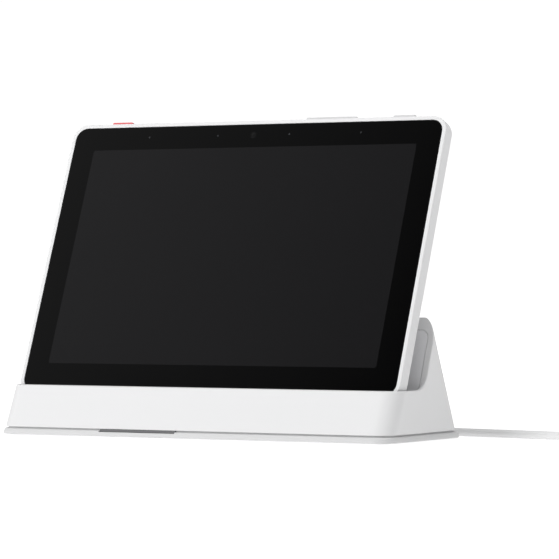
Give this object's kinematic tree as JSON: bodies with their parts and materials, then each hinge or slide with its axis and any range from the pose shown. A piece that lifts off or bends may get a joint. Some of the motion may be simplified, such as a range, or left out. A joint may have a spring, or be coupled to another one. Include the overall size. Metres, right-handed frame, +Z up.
{
  "type": "smart home hub",
  "caption": "Leaning touch tablet that lifts out of a wedge-shaped charging dock with a front bar, rear back rest and captive power cable.",
  "frame": {"origin": "middle of the dock's footprint, on the surface that it stands on", "axes": "+X to the right of someone facing the screen, +Y from the screen to the back, +Z up"},
  "size_m": [0.3334, 0.125, 0.1465],
  "materials": {
    "white_shell": "fine satin moulded plastic",
    "white_base": "fine satin moulded plastic",
    "screen_glass": "black printed cover glass, polished",
    "screen_panel": "dark unlit display",
    "light_panel": "white diffuser stack",
    "soft_grey": "soft-touch moulding",
    "black_foam": "closed-cell adhesive foam",
    "red_key": "coloured moulded key",
    "alloy": "stamped sheet",
    "steel": "zinc-plated",
    "gold_plate": "gold-plated",
    "board": "solder-masked circuit board",
    "flex": "polyimide flexible circuit",
    "battery_foil": "pouch foil",
    "black_plastic": "moulded plastic",
    "smoked": "smoked light pipe",
    "cable_white": "smooth cable jacket",
    "foot_rubber": "grippy rubber"
  },
  "bodies": {
    "dock": {"dock_shell": "white_shell", "backrest_panel": "soft_grey", "rest_pads": "soft_grey", "slot_liner": "soft_grey", "base_plate": "white_base", "foot_front_left": "foot_rubber", "foot_rear_left": "foot_rubber", "foot_front_right": "foot_rubber", "foot_rear_right": "foot_rubber", "base_screws": "steel", "ballast_left": "steel", "ballast_right": "steel", "pogo_block": "black_plastic", "pogo_barrels": "gold_plate", "pogo_springs": "steel", "charge_board": "board", "light_guide": "smoked", "light_board": "board", "cable_clamp": "white_base", "inner_lead": "cable_white", "lead_plug": "white_base", "strain_relief": "cable_white", "power_cable": "cable_white", "cable_coil": "cable_white", "cable_tail": "cable_white", "plug_body": "cable_white", "plug_tongue": "steel"},
    "tablet": {"cover_glass": "screen_glass", "glass_gasket": "black_foam", "display_panel": "screen_panel", "backlight": "light_panel", "front_frame": "white_shell", "rear_cover": "white_shell", "mid_plate": "alloy", "main_board": "board", "board_shields": "steel", "battery_left": "battery_foil", "battery_right": "battery_foil", "speaker_left": "black_plastic", "speaker_right": "black_plastic", "front_camera": "black_plastic", "mic_board_left": "board", "mic_board_right": "board", "antenna": "flex", "display_flex": "flex", "button_flex": "flex", "plate_screws": "steel", "contact_block": "white_shell", "contact_pads": "gold_plate"},
    "call_button": {"call_button": "red_key"},
    "volume_rocker": {"volume_rocker": "white_shell"},
    "power_button": {"power_button": "white_shell"},
    "pogo_pins": {"pogo_pins": "gold_plate"}
  },
  "joints": [
    {"name": "tablet_lift", "type": "slide", "parent": "dock", "child": "tablet", "axis": [0, 0.3665, 0.9304], "range_m": [0, 0.12]},
    {"name": "call_press", "type": "slide", "parent": "tablet", "child": "call_button", "axis": [0, -0.3665, -0.9304], "range_m": [0, 0.0005], "stiffness_N_per_m": 600},
    {"name": "volume_rock", "type": "hinge", "parent": "tablet", "child": "volume_rocker", "pos_m": [0.0378, 0.02842, 0.14126], "axis": [0, 0.9304, -0.3665], "range_deg": [-1.2, 1.2], "stiffness_Nm_per_rad": 0.05},
    {"name": "power_press", "type": "slide", "parent": "tablet", "child": "power_button", "axis": [0, -0.3665, -0.9304], "range_m": [0, 0.0005], "stiffness_N_per_m": 600},
    {"name": "pin_press", "type": "slide", "parent": "dock", "child": "pogo_pins", "axis": [0, -0.3665, -0.9304], "range_m": [0, 0.001], "stiffness_N_per_m": 300}
  ]
}
